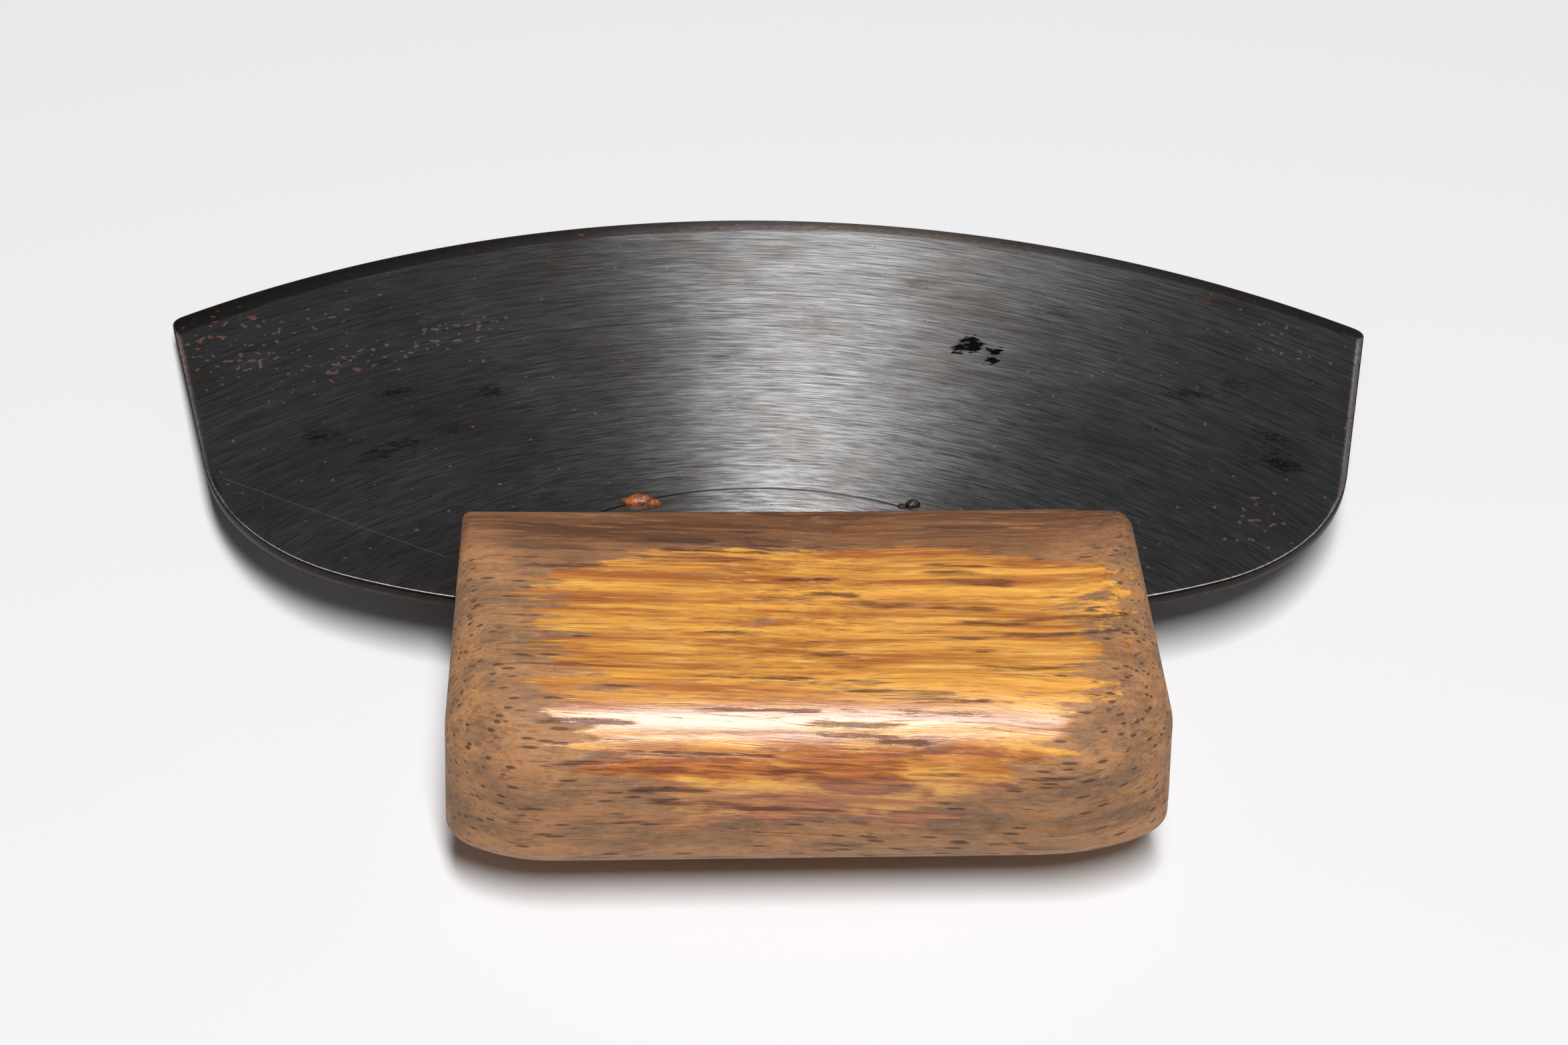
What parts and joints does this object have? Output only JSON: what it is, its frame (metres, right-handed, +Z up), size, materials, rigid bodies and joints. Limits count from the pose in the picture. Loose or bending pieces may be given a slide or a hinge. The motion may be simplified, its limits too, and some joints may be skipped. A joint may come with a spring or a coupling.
{
  "type": "crescent-bladed hand knife",
  "caption": "Hand knife with a half-moon steel blade bedded in the saw kerf of a rounded hardwood block handle, lying as it rests on a table.",
  "frame": {"origin": "on the table, under the middle of the bounding box", "axes": "+X along the handle, +Y from the handle towards the cutting edge, +Z up; the knife lies tipped towards its edge, as it rests on the edge and on the handle's lower mouth corner"},
  "size_m": [0.1938, 0.1438, 0.0313],
  "materials": {
    "blade_steel": "dark carbon steel plate, brushed in arcs, with rust freckles and pits",
    "handle_wood": "straight-grained hardwood with worn amber varnish, bare and greyed at the ends",
    "adhesive": "dark hardened resin",
    "amber_adhesive": "dried amber resin"
  },
  "bodies": {
    "root": {"blade": "blade_steel", "handle": "handle_wood", "adhesive_bed": "adhesive", "adhesive_drops": "amber_adhesive"}
  },
  "joints": []
}
